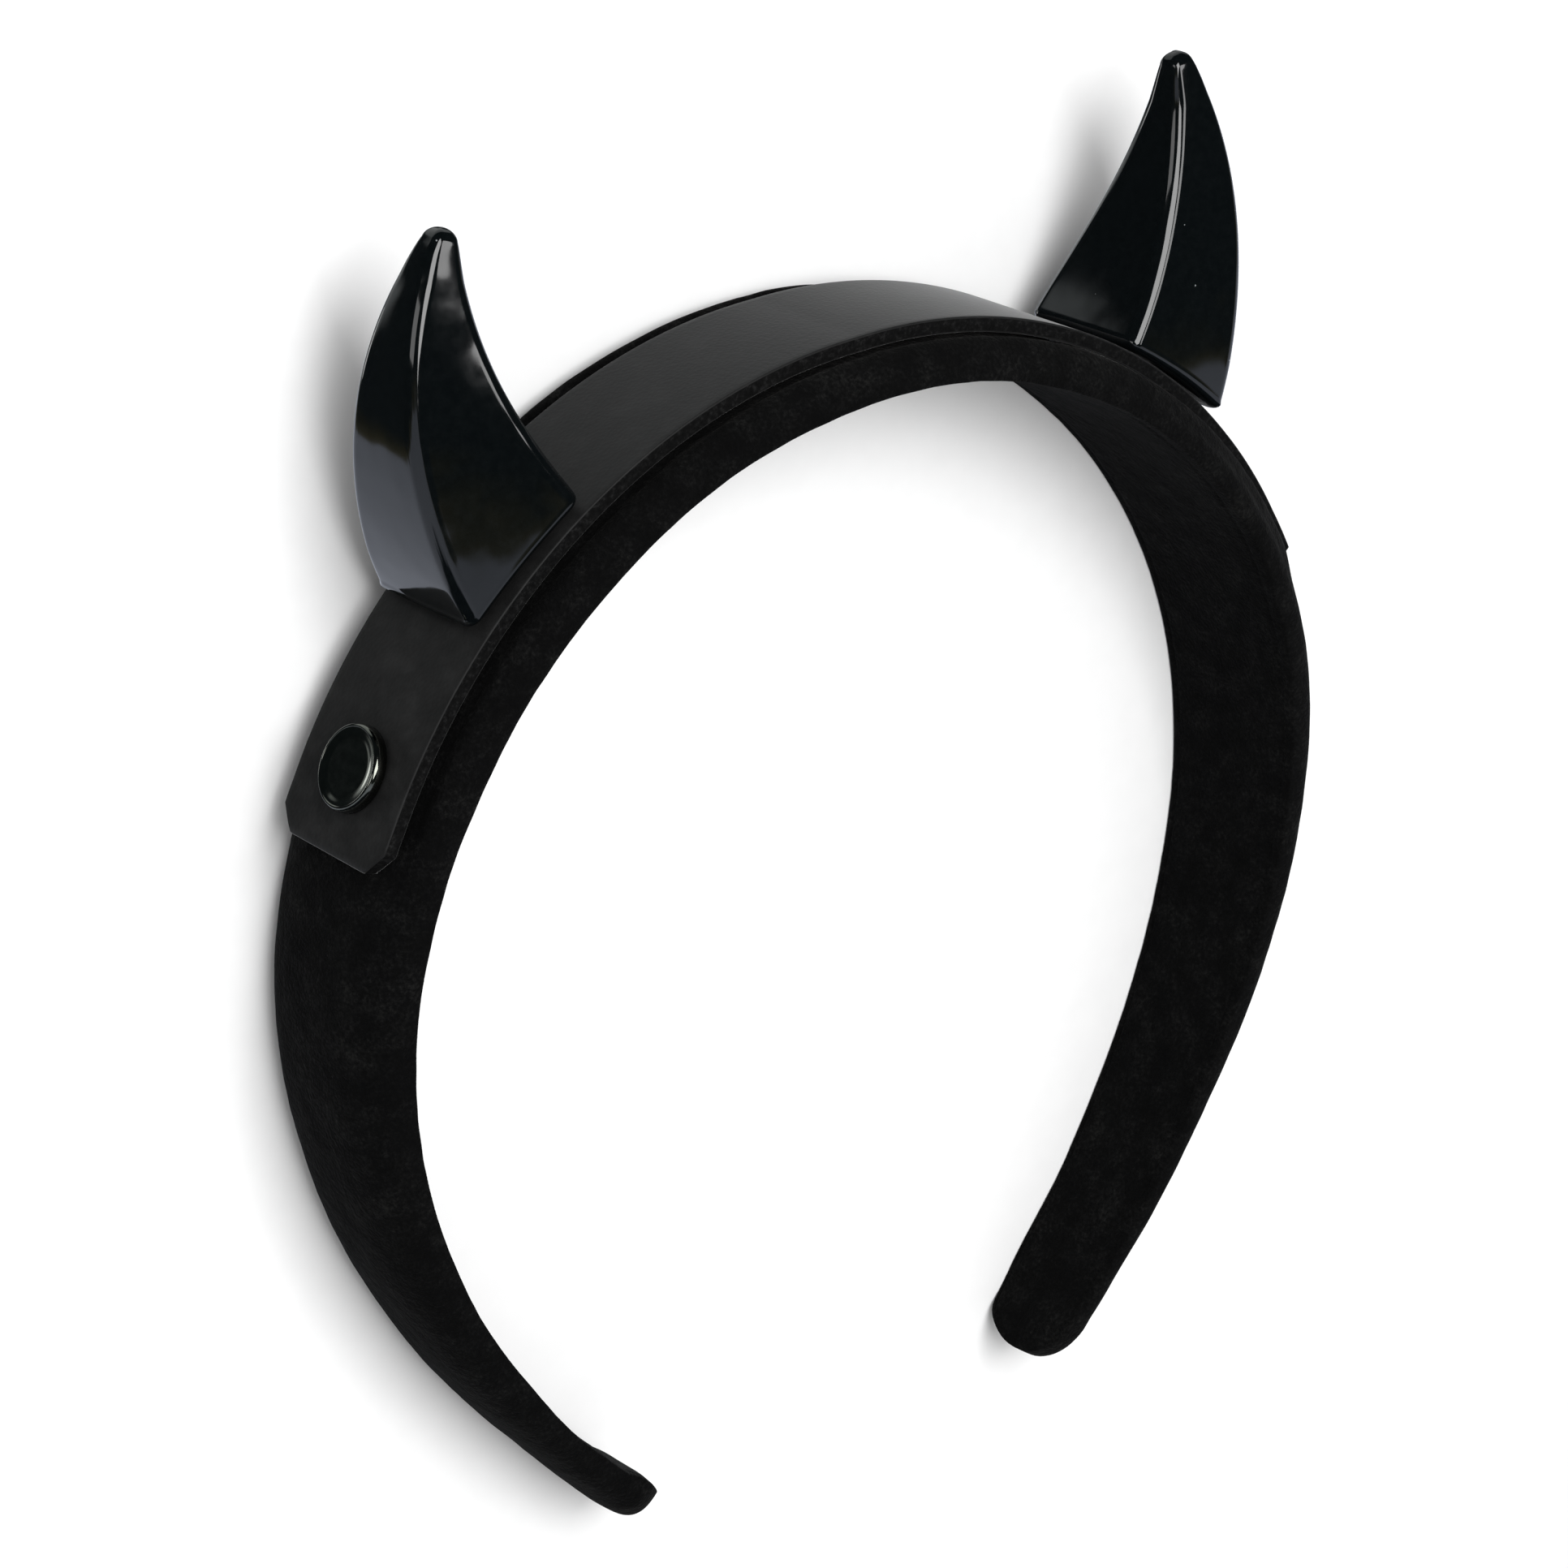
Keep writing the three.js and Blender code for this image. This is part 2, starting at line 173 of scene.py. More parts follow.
# Cotton velvet, woven and cut short: it drinks light seen straight on and greys where it is seen along
# the pile. Its colour lies in blotches some 4 mm across, partly the pile's own uneven tone and partly
# a painted sheen where the nap lies differently, and its tufts of 0.15 mm are drawn at 0.45 mm.
velvet = finish_of("black cotton velvet")
spot = add(velvet, "TexCoord").outputs["Object"]
nap = add(velvet, "TexNoise", {"Vector": spot, "Scale": 1 / (4 * MM), "Detail": 4, "Roughness": 0.65})
tufts = add(velvet, "TexNoise", {"Vector": spot, "Scale": 1 / (0.45 * MM), "Detail": 2, "Roughness": 0.7})
pile = add(velvet, "Math", {0: nap.outputs["Fac"], 1: tufts.outputs["Fac"]}, operation="MULTIPLY")
# Painted sheen: paler blotches in the base colour, mixed with the pile's own uneven tone.
nap_tone_and_sheen = add(velvet, "ValToRGB", {"Fac": pile.outputs["Value"]}, stops=(
    (0.14, "#020202"),
    (0.24, "#040404"),
    (0.32, "#090909"),
    (0.46, "#161615"),
))
lean = add(velvet, "Bump", {"Height": nap.outputs["Fac"], "Strength": 0.6, "Distance": 1 * MM})
rough = add(velvet, "Bump", {
    "Height": tufts.outputs["Fac"],
    "Strength": 0.6,
    "Distance": 0.25 * MM,
    "Normal": lean.outputs["Normal"],
})
surface = add(velvet, "BsdfPrincipled", {
    "Base Color": nap_tone_and_sheen.outputs["Color"],
    "Roughness": 0.95,
    "Specular IOR Level": 0.1,
    "Sheen Weight": 0.03,
    "Sheen Roughness": 0.35,
    "Sheen Tint": linear("#d6d4d0"),
    "Normal": rough.outputs["Normal"],
})
add(velvet, "OutputMaterial", {"Surface": surface.outputs["BSDF"]})

leg_start = {side: length - LEG_END_ROUND for side, length in LEG_LENGTH.items()}
end_turn = np.radians(90) * np.arange(1, LEG_END_RINGS + 1) / (LEG_END_RINGS + LEG_END_STOPS_SHORT)
into_round = LEG_END_ROUND * np.sin(end_turn)
band_arcs = np.concatenate([
    -(leg_start["left"] + into_round)[::-1],
    np.linspace(-leg_start["left"], leg_start["right"], round(sum(leg_start.values()) / BAND_STEP)),
    leg_start["right"] + into_round,
])[:, None]
leg_end = np.where(band_arcs < 0, LEG_LENGTH["left"], LEG_LENGTH["right"])
past_start = np.maximum(0, np.abs(band_arcs) - (leg_end - LEG_END_ROUND))
round_share = np.sqrt(1 - (past_start / LEG_END_ROUND) ** 2)
band_half = at_arc(BAND_WIDTH, "width", band_arcs) / 2 * round_share
band_thickness = at_arc(BAND_THICKNESS, "thickness", band_arcs)
band_thickness = band_thickness * (LEG_END_THICKNESS_SHARE + (1 - LEG_END_THICKNESS_SHARE) * round_share)
edge_height = np.minimum(INNER_EDGE_HEIGHT, band_thickness / 2)


def fold_at(front_share):
    """How far a leg end's fold stands up, at places from -1 at the back edge to 1 at the front edge."""
    start = leg_end - LEG_END_FOLD["starts"] + LEG_END_FOLD["skew"] * (1 - front_share) / 2
    turned_under = smoothstep(np.abs(band_arcs), start, start + LEG_END_FOLD["rise"])
    start = leg_end - LEG_END_PADDING["starts"]
    padded = smoothstep(np.abs(band_arcs), start, start + LEG_END_PADDING["rise"])
    end_share = LEG_END_FOLD["left_at_end"] + (1 - LEG_END_FOLD["left_at_end"]) * round_share
    return (turned_under + (padded - turned_under) * LEG_END_PADDING["share"]) * end_share


dome_angle = np.pi * np.arange(DOME_POINTS + 1)[None] / DOME_POINTS
dome_share = -np.sign(np.cos(dome_angle)) * np.abs(np.cos(dome_angle)) ** (2 / DOME_POWER)
dome_front = band_half * dome_share
dome_foot = edge_height - LEG_END_FOLD["edge"] * fold_at(dome_share)
dome_height = dome_foot + (band_thickness - dome_foot) * np.abs(np.sin(dome_angle)) ** (2 / DOME_POWER)

from_edge = np.array(INNER_SHARES + (1,) + INNER_SHARES[::-1])[None]
inner_share = np.sign(len(INNER_SHARES) - np.arange(from_edge.size))[None] * (1 - from_edge)
inner_front = band_half * inner_share
inner_drop = (1 - (1 - from_edge) ** INNER_EDGE_POWER) ** (1 / INNER_EDGE_POWER)
seam = np.exp(-((from_edge - LINING_SEAM["share"]) / LINING_SEAM["spread"]) ** 2) * LINING_SEAM["depth"]
inner_fold = fold_at(inner_share)
inner_edge = edge_height - LEG_END_FOLD["edge"] * inner_fold
inner_fall = (inner_edge + LEG_END_FOLD["depth"] * inner_fold) * inner_drop
inner_height = inner_edge - inner_fall + seam * round_share


def strap_lay(arc):
    """How far to the front the strap's middle lies at an arc."""
    return np.interp(arc, STRAP_LAY["arc"], STRAP_LAY["front"])


# The strap presses the padding down, and it puffs up along both of the strap's edges, most behind it.
beside_strap = smoothstep(band_arcs, -STRAP_END["left"], PUFF_FADE - STRAP_END["left"])
beside_strap = beside_strap * (1 - smoothstep(band_arcs, STRAP_END["right"] - PUFF_FADE, STRAP_END["right"]))
squeezed = PUFF_BACK["arc"]
behind_strap = smoothstep(band_arcs, *squeezed[:2]) * (1 - smoothstep(band_arcs, *squeezed[2:]))
past_front = (dome_front - strap_lay(band_arcs) - STRAP_WIDTH / 2) / PUFF_FRONT["reach"]
past_back = (strap_lay(band_arcs) - STRAP_WIDTH / 2 - dome_front) / PUFF_BACK["reach"]
dome_height = dome_height + PUFF_FRONT["height"] * beside_strap * np.sin(np.pi * np.clip(past_front, 0, 1))
dome_height = dome_height + PUFF_BACK["height"] * behind_strap * np.sin(np.pi * np.clip(past_back, 0, 1))

band_front = np.concatenate([dome_front, inner_front], 1)
band_height = np.concatenate([dome_height, inner_height], 1)
band_rings = place(band_arcs, band_front, band_height)
band = skin("padded_band", band_rings, velvet)


def points_of(mesh, attribute):
    """The places or the normals of a mesh's points, a row for each."""
    values = np.empty(3 * len(mesh.vertices))
    mesh.vertices.foreach_get(attribute, values)
    return values.reshape(-1, 3)


def move_points(mesh, points):
    """Puts a mesh's points in new places."""
    mesh.vertices.foreach_set("co", points.ravel())
    mesh.update()


def raise_unevenly(mesh, unevenness):
    """Moves a mesh's points in and out by a smooth noise of a given size and height in millimetres."""
    points = points_of(mesh, "co")
    bumps = np.array([noise.noise(point) for point in points / (unevenness["size"] * MM)])
    raised = points_of(mesh, "normal") * bumps[:, None] * unevenness["height"] * MM
    move_points(mesh, points + raised)


raise_unevenly(band.data, PADDING_UNEVENNESS)

# The velvet is blown up over the padding, held where it is glued inside and where the strap lies on it.
under_strap = (past_front < 0) & (past_back < 0) & (beside_strap > COVER_HELD_SHARE)
held_here = np.concatenate([under_strap, np.ones(inner_front.shape, bool)], 1)
held_here[:, 0] = True
held_here[:, DOME_POINTS] = True
held = band.vertex_groups.new(name="held")
held.add(np.flatnonzero(held_here).tolist(), 1, "REPLACE")
cover = band.modifiers.new("cover", "CLOTH")
cover.settings.vertex_group_mass = "held"
cover.settings.use_pressure = True
cover.settings.uniform_pressure_force = COVER_PRESSURE
cover.settings.effector_weights.gravity = 0
cover.point_cache.frame_end = COVER_FRAMES
for frame_number in range(1, COVER_FRAMES + 1):
    bpy.context.scene.frame_set(frame_number)
blown = band.evaluated_get(bpy.context.evaluated_depsgraph_get())
swelling = points_of(blown.data, "co") - points_of(band.data, "co")
bpy.context.scene.frame_set(1)
band.modifiers.remove(cover)
most = COVER_SWELL * MM
moved = np.linalg.norm(swelling, axis=1, keepdims=True)
swelling = swelling * (most / np.maximum(moved, most))
move_points(band.data, points_of(band.data, "co") + swelling)

raise_unevenly(band.data, PILE_UNEVENNESS)

# The back edge lies on the floor and is pressed flat there, with a soft turn up.
resting = points_of(band.data, "co")
resting[:, 2] = (resting[:, 2] + np.hypot(resting[:, 2], REST_SOFTNESS * MM)) / 2
move_points(band.data, resting)

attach(band, "root")
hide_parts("band")


# Strap: one strip of charcoal leather, cut square along its edges and with its corners cut off.
# It lies over the velvet from snap to snap, a little askew, and its raw edges show the fibres.
STRAP_THICKNESS = 1.8
STRAP_CHAMFER = 2.4
STRAP_STEP = 0.8
STRAP_EDGE_RADIUS = 0.2
STRAP_EDGE_STEPS = 4
STRAP_EDGE_POINTS = 3
STRAP_END_ROUND = (0.2, 0.12, 0.05)
STRAP_ACROSS = (0.93, 0.8, 0.6, 0.35, 0.1)
SNAP_ARC = {"left": -68.5, "right": 71.3}
SNAP_FRONT_OFFSET = 0.6
SNAP_HOLE_DIAMETER = 4.6
SNAP_SIDES = 96
SEAT_GAP = 0.3

# Full-grain leather, dyed charcoal and left matt: it pales where it is seen along its face, with faint
# mottling where the dye took unevenly, and pores some 0.25 mm across, drawn at 0.5 mm.
leather = finish_of("matt charcoal leather")
spot = add(leather, "TexCoord").outputs["Object"]
mottle = add(leather, "TexNoise", {"Vector": spot, "Scale": 1 / (3.5 * MM), "Detail": 4, "Roughness": 0.65})
pores = add(leather, "TexVoronoi", {"Vector": spot, "Scale": 1 / (0.5 * MM), "Randomness": 1})
dye = add(leather, "ValToRGB", {"Fac": mottle.outputs["Fac"]}, stops=(
    (0.3, "#101010"),
    (0.5, "#161616"),
    (0.7, "#1e1e1e"),
))
dull = add(leather, "MapRange", {"Value": mottle.outputs["Fac"], "To Min": 0.5, "To Max": 0.64})
grain = add(leather, "Bump", {"Height": pores.outputs["Distance"], "Strength": 0.25, "Distance": 0.06 * MM})
surface = add(leather, "BsdfPrincipled", {
    "Base Color": dye.outputs["Color"],
    "Roughness": dull.outputs["Result"],
    "IOR": 1.5,
    "Specular IOR Level": 0.2,
    "Sheen Weight": 0.29,
    "Sheen Roughness": 0.29,
    "Normal": grain.outputs["Normal"],
})
add(leather, "OutputMaterial", {"Surface": surface.outputs["BSDF"]})

# The same leather cut across: loose fibres, blotched dark and rough, paler where the knife left a lip.
# It is coloured darker than the face, partly the raw fibres' own tone and partly painted shade on edges
# turned from the light.
cut_leather = finish_of("cut leather edge")
spot = add(cut_leather, "TexCoord").outputs["Object"]
fibre = add(cut_leather, "TexNoise", {
    "Vector": spot,
    "Scale": 1 / (0.6 * MM),
    "Detail": 4,
    "Roughness": 0.7,
})
# Painted shade: the edge's colour is kept darker than the face's, over the fibres' own blotches.
fibre_tone_and_shade = add(cut_leather, "ValToRGB", {"Fac": fibre.outputs["Fac"]}, stops=(
    (0.36, "#030303"),
    (0.54, "#0a0a0a"),
    (0.72, "#1f1f1f"),
))
frayed = add(cut_leather, "Bump", {"Height": fibre.outputs["Fac"], "Strength": 0.5, "Distance": 0.15 * MM})
surface = add(cut_leather, "BsdfPrincipled", {
    "Base Color": fibre_tone_and_shade.outputs["Color"],
    "Roughness": 0.85,
    "IOR": 1.5,
    "Specular IOR Level": 0.1,
    "Normal": frayed.outputs["Normal"],
})
add(cut_leather, "OutputMaterial", {"Surface": surface.outputs["BSDF"]})


def strap_underside(arc):
    """Height of the strap's underside above the band's inner face."""
    return np.interp(np.abs(arc), BAND_THICKNESS["arc"], BAND_THICKNESS["thickness"]) + SEAT_GAP


def strap_top(arc):
    return strap_underside(arc) + STRAP_THICKNESS


def strap_ring(arc, inset=0.0):
    """One section of the strap with rounded long edges, from its back edge over its top to its underside."""
    end = STRAP_END["left"] if arc < 0 else STRAP_END["right"]
    half = STRAP_WIDTH / 2 - max(0, abs(arc) - (end - STRAP_CHAMFER)) - inset
    reach = half - STRAP_EDGE_RADIUS
    low, high = inset + STRAP_EDGE_RADIUS, STRAP_THICKNESS - inset - STRAP_EDGE_RADIUS
    turns = np.radians(90) * np.arange(STRAP_EDGE_STEPS + 1) / STRAP_EDGE_STEPS
    out, up = STRAP_EDGE_RADIUS * np.cos(turns), STRAP_EDGE_RADIUS * np.sin(turns)
    between = np.linspace(low, high, STRAP_EDGE_POINTS + 2)[1:-1]
    back_edge = np.concatenate([
        np.stack([-reach - out[::-1], low - up[::-1]], -1),
        np.stack([np.full(between.size, -half), between], -1),
        np.stack([-reach - out, high + up], -1),
    ])
    across = reach * np.array([-share for share in STRAP_ACROSS] + list(STRAP_ACROSS[::-1]))
    top = np.stack([across, np.full(across.size, STRAP_THICKNESS - inset)], -1)
    underside = np.stack([across[::-1], np.full(across.size, inset)], -1)
    section = np.concatenate([back_edge, top, back_edge[::-1] * (-1, 1), underside])
    return place(arc, strap_lay(arc) + section[:, 0], strap_underside(arc) + section[:, 1])


strap_arcs = np.linspace(-STRAP_END["left"], STRAP_END["right"], round(sum(STRAP_END.values()) / STRAP_STEP))
end_round = STRAP_END_ROUND[0]
strap_rings = [strap_ring(strap_arcs[0] + end_round - inset, inset) for inset in STRAP_END_ROUND]
strap_rings += [strap_ring(arc) for arc in strap_arcs[1:-1]]
strap_rings += [strap_ring(strap_arcs[-1] - end_round + inset, inset) for inset in STRAP_END_ROUND[::-1]]
strap = skin("leather_strap", strap_rings, leather)

# The cut leather shows along both edges and at both ends, where the mesh closes with one many-sided face.
strap.data.materials.append(cut_leather)
ring_points = len(strap_rings[0])
edge_points = 2 * STRAP_EDGE_STEPS + STRAP_EDGE_POINTS + 2
cut_columns = [STRAP_EDGE_STEPS + i for i in range(STRAP_EDGE_POINTS + 1)]
cut_columns += [edge_points + 2 * len(STRAP_ACROSS) + column for column in cut_columns]
for face in strap.data.polygons:
    if len(face.vertices) > 4 or face.index % ring_points in cut_columns:
        face.material_index = 1


def set_on_strap(points, arc, front, height, lean=0.0):
    """Stands points, in a piece's own millimetres, on the strap at an arc."""
    side = -1 if arc < 0 else 1
    turn = -side * (np.interp(abs(arc), walk, face_turn) - lean)
    x, y, z = np.moveaxis(points, -1, 0)
    turned_x = x * math.cos(turn) - y * math.sin(turn)
    turned_y = x * math.sin(turn) + y * math.cos(turn)
    return np.stack([turned_x, turned_y, z], -1) + place(arc, front, height)


def turned_rings(profile):
    """Rings about an upright axis from a profile of radii and heights."""
    angle = 2 * np.pi * np.arange(SNAP_SIDES) / SNAP_SIDES
    radius, height = np.asarray(profile, float).T[:, :, None]
    x, z = radius * np.cos(angle), -radius * np.sin(angle)
    return np.stack([x, np.broadcast_to(height, x.shape), z], -1)


hole_radius = SNAP_HOLE_DIAMETER / 2
hole_rings = turned_rings([(hole_radius, -STRAP_THICKNESS), (hole_radius, STRAP_THICKNESS)])
for side, arc in SNAP_ARC.items():
    strap_middle = strap_underside(arc) + STRAP_THICKNESS / 2
    punched = set_on_strap(hole_rings, arc, strap_lay(arc) + SNAP_FRONT_OFFSET, strap_middle)
    punch = skin(f"punch_{side}", punched, cut_leather)
    hole = strap.modifiers.new("hole", "BOOLEAN")
    hole.object = punch
    holed = bpy.data.meshes.new_from_object(strap.evaluated_get(bpy.context.evaluated_depsgraph_get()))
    strap.modifiers.remove(hole)
    bpy.data.objects.remove(punch)
    strap.data = holed

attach(strap, "root")
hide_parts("strap")


# Snaps: press studs of blackened brass, one near each end of the strap, riveted through it.
# Each cap is pressed from sheet, its rim rolled over and its middle dished.
SNAP_DIAMETER = 9.7
SNAP_HEIGHT = 1.4
SNAP_FOOT_BEVEL = {"width": 0.3, "top": -0.05}
SNAP_SHOULDER = {"width": 0.4, "height": 0.75}
SNAP_ROLL = {"width": 0.13, "height": 0.12, "degrees": 150}
SNAP_RIM_STEPS = 24
SNAP_DISH_DEPTH = 0.155
SNAP_DISH_WALL = (0.74, 0.99)
SNAP_DISH_WALL_RINGS = {"start": 0.985, "stop": 0.73, "num": 20}
SNAP_DISH_FLOOR_RINGS = (0.5, 0.25, 0.05)
SNAP_POST_DIAMETER = 4
SNAP_POST_MIDDLE_RADIUS = 0.3

# Blackened brass, lacquered: near-black and glossy, with a soft unevenness in the lacquer.
snap_metal = finish_of("blackened brass")
spot = add(snap_metal, "TexCoord").outputs["Object"]
wear = add(snap_metal, "TexNoise", {"Vector": spot, "Scale": 1 / (0.9 * MM), "Detail": 4, "Roughness": 0.6})
lacquer = add(snap_metal, "ValToRGB", {"Fac": wear.outputs["Fac"]}, stops=(
    (0.35, "#5c5e58"),
    (0.7, "#6a6c66"),
))
gloss = add(snap_metal, "MapRange", {"Value": wear.outputs["Fac"], "To Min": 0.05, "To Max": 0.14})
surface = add(snap_metal, "BsdfPrincipled", {
    "Base Color": lacquer.outputs["Color"],
    "Metallic": 1,
    "Roughness": gloss.outputs["Result"],
})
add(snap_metal, "OutputMaterial", {"Surface": surface.outputs["BSDF"]})

cap_radius = SNAP_DIAMETER / 2
post_radius = SNAP_POST_DIAMETER / 2
post_foot = -SEAT_GAP - STRAP_THICKNESS
rim_angle = np.radians(SNAP_ROLL["degrees"]) * np.arange(SNAP_RIM_STEPS + 1) / SNAP_RIM_STEPS
outside = rim_angle < np.radians(90)
rim_width = np.where(outside, SNAP_SHOULDER["width"], SNAP_ROLL["width"])
rim_fall = np.where(outside, SNAP_SHOULDER["height"], SNAP_ROLL["height"])
rim_radius = cap_radius - SNAP_SHOULDER["width"] + rim_width * np.cos(rim_angle)
rim_height = SNAP_HEIGHT - rim_fall * (1 - np.sin(rim_angle))
dish_share = np.concatenate([np.linspace(**SNAP_DISH_WALL_RINGS), SNAP_DISH_FLOOR_RINGS])
dish_height = rim_height[-1] - SNAP_DISH_DEPTH * (1 - smoothstep(dish_share, *SNAP_DISH_WALL))
profile = np.concatenate([
    [(SNAP_POST_MIDDLE_RADIUS, post_foot), (post_radius, post_foot), (post_radius, -SEAT_GAP)],
    [(cap_radius - SNAP_FOOT_BEVEL["width"], -SEAT_GAP), (cap_radius, SNAP_FOOT_BEVEL["top"])],
    np.stack([rim_radius, rim_height], -1),
    np.stack([rim_radius[-1] * dish_share, dish_height], -1),
])
snap_rings = turned_rings(profile)
for side, arc in SNAP_ARC.items():
    seat = set_on_strap(snap_rings, arc, strap_lay(arc) + SNAP_FRONT_OFFSET, strap_top(arc) + SEAT_GAP)
    snap = skin(f"snap_cap_{side}", seat, snap_metal)
    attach(snap, "root")
    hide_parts(f"snap_{side}")


# Horns: four-sided with soft ridges, curving in over the crown to a blunt tip.
# Each is one glossy moulding in black plastic, its base hollowed to sit on the curved strap.
HORN_ARC = {"left": -43.8, "right": 47.2}
HORN_BASE_LENGTH = 18.5
HORN_BASE_WIDTH = 18.2
HORN_TIP = {"inward": 17.5, "forward": 2.6}
HORN_TIP_HEIGHT = {"left": 30.4, "right": 31.4}
HORN_BEND = {"height": 19.4, "inward": 2.7, "forward": 0.5}
HORN_TAPER = {"length": 0.88, "width": 0.95, "onset": 1.19}
HORN_TIP_RADIUS = 1.6
HORN_TIP_TAPER = math.radians(12)
HORN_RIDGE_RADIUS = 1.5
HORN_RIDGE_SHARE = 0.55
HORN_RIDGE_STEPS = 8
HORN_FACE_POINTS = (-0.93, -0.75, -0.45, -0.15, 0.15, 0.45, 0.75, 0.93)
HORN_FACE_CROWN = 0.1
HORN_BASE_FILLET = 1.1
HORN_SEAT = {"radius": 74, "share": 0.12}
HORN_LEAN_DEGREES = {"left": 1.7, "right": 2.6}
HORN_GAP = 0.4
HORN_FILLET_RINGS = 7
HORN_RINGS = 90
HORN_TIP_RINGS = 10
HORN_TIP_STOPS_SHORT = 0.3

# ABS, moulded in black and polished: mirror-bright and very dark, with the slow waves of a moulded face
# some 6 mm apart, fine scuffs, and a few specks of dust 0.2 mm across.
horn_plastic = finish_of("polished black ABS")
spot = add(horn_plastic, "TexCoord").outputs["Object"]
waves = add(horn_plastic, "TexNoise", {"Vector": spot, "Scale": 1 / (6 * MM), "Detail": 1, "Roughness": 0.4})
scuffs = add(horn_plastic, "TexNoise", {
    "Vector": spot,
    "Scale": 1 / (1.2 * MM),
    "Detail": 6,
    "Roughness": 0.7,
})
tint = add(horn_plastic, "ValToRGB", {"Fac": scuffs.outputs["Fac"]}, stops=(
    (0.4, "#040607"),
    (0.75, "#080b0c"),
))
specks = add(horn_plastic, "TexVoronoi", {"Vector": spot, "Scale": 1 / (2.5 * MM), "Randomness": 1})
speck = add(horn_plastic, "MapRange", {
    "Value": specks.outputs["Distance"],
    "From Min": 0.05,
    "From Max": 0.03,
})
few = add(horn_plastic, "Math", {0: specks.outputs["Color"], 1: 0.62}, operation="GREATER_THAN")
dust = add(horn_plastic, "Math", {0: speck.outputs["Result"], 1: few.outputs["Value"]}, operation="MULTIPLY")
dusty = add(horn_plastic, "Mix", {
    0: dust.outputs["Value"],
    6: tint.outputs["Color"],
    7: linear("#8c9092"),
}, data_type="RGBA")
polish = add(horn_plastic, "MapRange", {"Value": scuffs.outputs["Fac"], "To Min": 0.03, "To Max": 0.11})
wavy = add(horn_plastic, "Bump", {"Height": waves.outputs["Fac"], "Strength": 0.3, "Distance": 0.35 * MM})
surface = add(horn_plastic, "BsdfPrincipled", {
    "Base Color": dusty.outputs[2],
    "Roughness": polish.outputs["Result"],
    "IOR": 1.53,
    "Normal": wavy.outputs["Normal"],
})
add(horn_plastic, "OutputMaterial", {"Surface": surface.outputs["BSDF"]})


def horn_ring(side, along, lift=0.0, size=1.0, inset=0.0):
    """One section of a horn, along it from 0 to 1: four ridges, each with a crowned face after it."""
    tip = {**HORN_TIP, "height": HORN_TIP_HEIGHT[side]}
    bend_share = 2 * along * (1 - along)
    inward, height, forward = (
        bend_share * HORN_BEND[way] + along ** 2 * tip[way] for way in ("inward", "height", "forward")
    )
    slope_in = (1 - 2 * along) * HORN_BEND["inward"] + along * tip["inward"]
    slope_up = (1 - 2 * along) * HORN_BEND["height"] + along * tip["height"]
    lean = math.atan2(slope_in, slope_up) * (1 - (1 - along) ** 2)
    to_go = max(0, 1 - along ** HORN_TAPER["onset"])
    length, width = (
        (HORN_TIP_RADIUS + (base / 2 - HORN_TIP_RADIUS) * to_go ** HORN_TAPER[way]) * size - inset
        for base, way in ((HORN_BASE_LENGTH, "length"), (HORN_BASE_WIDTH, "width"))
    )
    ridge = min(HORN_RIDGE_RADIUS, HORN_RIDGE_SHARE * min(length, width))
    section = []
    for quarter, (to_x, to_z) in enumerate(((1, 1), (-1, 1), (-1, -1), (1, -1))):
        for step in range(HORN_RIDGE_STEPS + 1):
            angle = math.radians(90) * (quarter + step / HORN_RIDGE_STEPS)
            section.append((
                to_x * (length - ridge) + ridge * math.cos(angle),
                to_z * (width - ridge) + ridge * math.sin(angle),
            ))
        face_half = (length if quarter % 2 == 0 else width) - ridge
        face_out = width if quarter % 2 == 0 else length
        sign = 1 if quarter < 2 else -1
        for share in HORN_FACE_POINTS:
            out = face_out + HORN_FACE_CROWN * face_out / HORN_BASE_WIDTH * 2 * (1 - share ** 2)
            flat = ((-share * face_half, out), (-out, -share * face_half))[quarter % 2]
            section.append((flat[0] * sign, flat[1] * sign))
    across_x, across_z = np.array(section).T
    x = -inward + across_x * math.cos(lean) - lift * math.sin(lean)
    y = height + across_x * math.sin(lean) + lift * math.cos(lean)
    y = y - across_x ** 2 / (2 * HORN_SEAT["radius"]) * max(0, 1 - along / HORN_SEAT["share"])
    if side == "left":
        return np.stack([-x, y, forward + across_z], -1)
    return np.stack([x, y, forward + across_z], -1)[::-1]


for side, arc in HORN_ARC.items():
    horn_rings = []
    for step in range(HORN_FILLET_RINGS):
        angle = math.radians(90) * step / HORN_FILLET_RINGS
        lift = HORN_BASE_FILLET * (1 - math.cos(angle))
        horn_rings.append(horn_ring(side, 0, lift, inset=HORN_BASE_FILLET * (1 - math.sin(angle))))
    for along in np.linspace(HORN_BASE_FILLET / (2 * HORN_BEND["height"]), 1, HORN_RINGS):
        horn_rings.append(horn_ring(side, along))
    last_step = HORN_TIP_RINGS + HORN_TIP_STOPS_SHORT
    for step in range(1, HORN_TIP_RINGS + 1):
        angle = HORN_TIP_TAPER + (math.radians(90) - HORN_TIP_TAPER) * step / last_step
        lift = HORN_TIP_RADIUS * (math.sin(angle) - math.sin(HORN_TIP_TAPER)) / math.cos(HORN_TIP_TAPER)
        horn_rings.append(horn_ring(side, 1, lift, math.cos(angle) / math.cos(HORN_TIP_TAPER)))
    lean = math.radians(HORN_LEAN_DEGREES[side])
    stood = set_on_strap(np.array(horn_rings), arc, 0, strap_top(arc) + HORN_GAP, lean)
    horn = skin(f"curved_horn_{side}", stood, horn_plastic)
    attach(horn, "root")
    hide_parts(f"horn_{side}")


